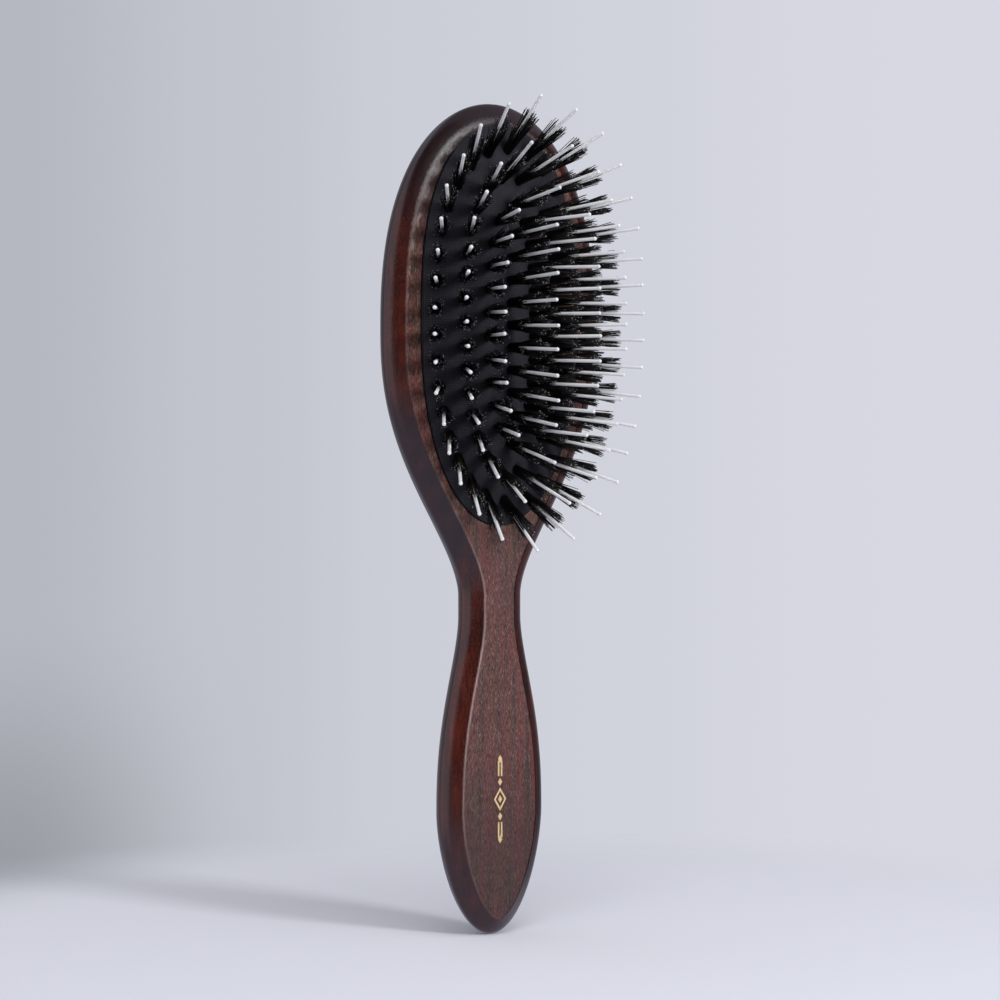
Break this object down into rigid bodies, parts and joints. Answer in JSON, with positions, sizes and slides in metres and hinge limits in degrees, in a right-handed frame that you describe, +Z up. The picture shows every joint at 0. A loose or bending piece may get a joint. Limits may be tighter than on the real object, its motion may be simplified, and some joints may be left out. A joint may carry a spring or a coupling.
{
  "type": "pneumatic paddle hair brush",
  "caption": "Upright oval paddle hair brush: dark stained wooden head and handle in one piece, domed air cushion with bristle tufts and ball-tipped nylon pins.",
  "frame": {"origin": "under the middle of the brush's box in X and Y, level with the tip of the handle on which it stands", "axes": "+Z up the brush from the handle's tip to the top of the head, +X across it, -Y the way the bristles point, +Y out of the back"},
  "size_m": [0.0724, 0.0412, 0.2264],
  "materials": {
    "stained_wood": "satin lacquer over dark red-brown stain, fine open pores",
    "cushion_rubber": "matt black rubber with a fine woven face",
    "backing_cloth": "stiff rubberised cloth",
    "gold_foil": "hot-stamped gold foil",
    "nylon": "natural white nylon, slightly translucent",
    "boar_bristle": "black boar bristle with a few brown hairs",
    "brass_wire": "drawn wire"
  },
  "bodies": {
    "wooden_body": {"wooden_body": "stained_wood", "rubber_cushion": "cushion_rubber", "backing_sheet": "backing_cloth", "foil_ornament": "gold_foil"},
    "field_tufts": {"centre_row_pins": "nylon", "centre_row_tufts": "boar_bristle", "centre_row_bindings": "brass_wire", "inner_ring_pins": "nylon", "inner_ring_tufts": "boar_bristle", "inner_ring_bindings": "brass_wire", "middle_ring_pins": "nylon", "middle_ring_tufts": "boar_bristle", "middle_ring_bindings": "brass_wire"},
    "edge_tufts": {"outer_ring_pins": "nylon", "outer_ring_tufts": "boar_bristle", "outer_ring_bindings": "brass_wire"}
  },
  "joints": [
    {"name": "field_tufts_press", "type": "slide", "parent": "wooden_body", "child": "field_tufts", "axis": [0, 1, 0], "range_m": [0, 0.0025], "stiffness_N_per_m": 1000, "deforming": ["rubber_cushion"]},
    {"name": "edge_tufts_press", "type": "slide", "parent": "wooden_body", "child": "edge_tufts", "axis": [0, 1, 0], "range_m": [0, 0.001]}
  ],
  "couplings": [
    {"joint": "edge_tufts_press", "follows": "field_tufts_press", "ratio": 0.4}
  ]
}
